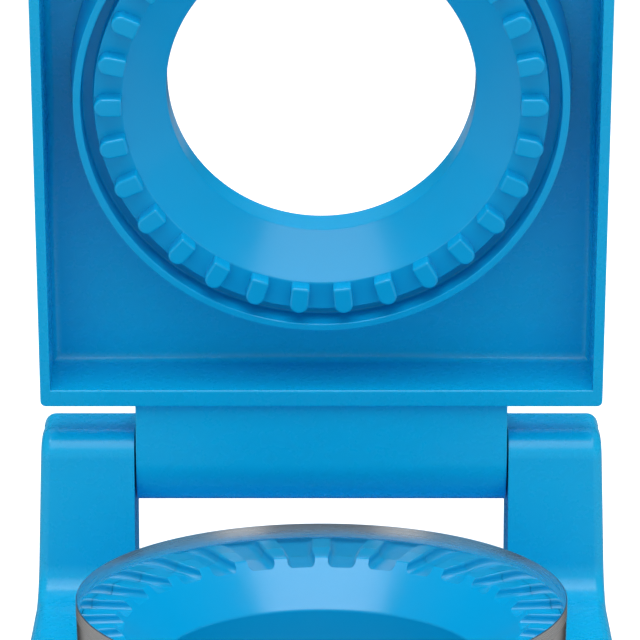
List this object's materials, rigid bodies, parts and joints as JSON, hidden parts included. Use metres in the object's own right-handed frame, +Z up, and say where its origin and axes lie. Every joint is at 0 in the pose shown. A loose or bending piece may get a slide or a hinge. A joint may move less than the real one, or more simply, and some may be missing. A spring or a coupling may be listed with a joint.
{
  "type": "sandwich cutter and sealer",
  "caption": "Hinged kitchen press with a round steel cutting ring and toothed crimping rings that cut and seal a filled sandwich into a round.",
  "frame": {"origin": "on the standing surface, under the middle of the open press", "axes": "+Z up, -Y to the front edge where the lid opens, +Y to the hinge, X along the hinge"},
  "size_m": [0.1232, 0.1562, 0.195],
  "materials": {
    "blue_plastic": "satin moulded",
    "ring_plastic": "smooth moulded",
    "blade_steel": "polished",
    "fastener_steel": "plain",
    "foot_rubber": "matte",
    "bush_acetal": "smooth"
  },
  "bodies": {
    "base": {"base_frame": "blue_plastic", "cutter_ring": "blade_steel", "lower_crimp_ring": "ring_plastic", "base_screw_front_left": "fastener_steel", "base_screw_front_right": "fastener_steel", "base_screw_rear_left": "fastener_steel", "base_screw_rear_right": "fastener_steel", "foot_front_left": "foot_rubber", "foot_front_right": "foot_rubber", "foot_rear_left": "foot_rubber", "foot_rear_right": "foot_rubber", "hinge_pin_left": "fastener_steel", "hinge_pin_right": "fastener_steel", "hinge_cap_left": "blue_plastic", "hinge_cap_right": "blue_plastic"},
    "lid": {"lid_frame": "blue_plastic", "upper_crimp_ring": "ring_plastic", "lid_screw_front_left": "fastener_steel", "lid_screw_front_right": "fastener_steel", "lid_screw_rear_left": "fastener_steel", "lid_screw_rear_right": "fastener_steel", "hinge_bush_left": "bush_acetal", "hinge_bush_right": "bush_acetal"}
  },
  "joints": [
    {"name": "lid_hinge", "type": "hinge", "parent": "base", "child": "lid", "pos_m": [0, 0.06692, 0.0443], "axis": [1, 0, 0], "range_deg": [-100.85, 79.15]}
  ]
}
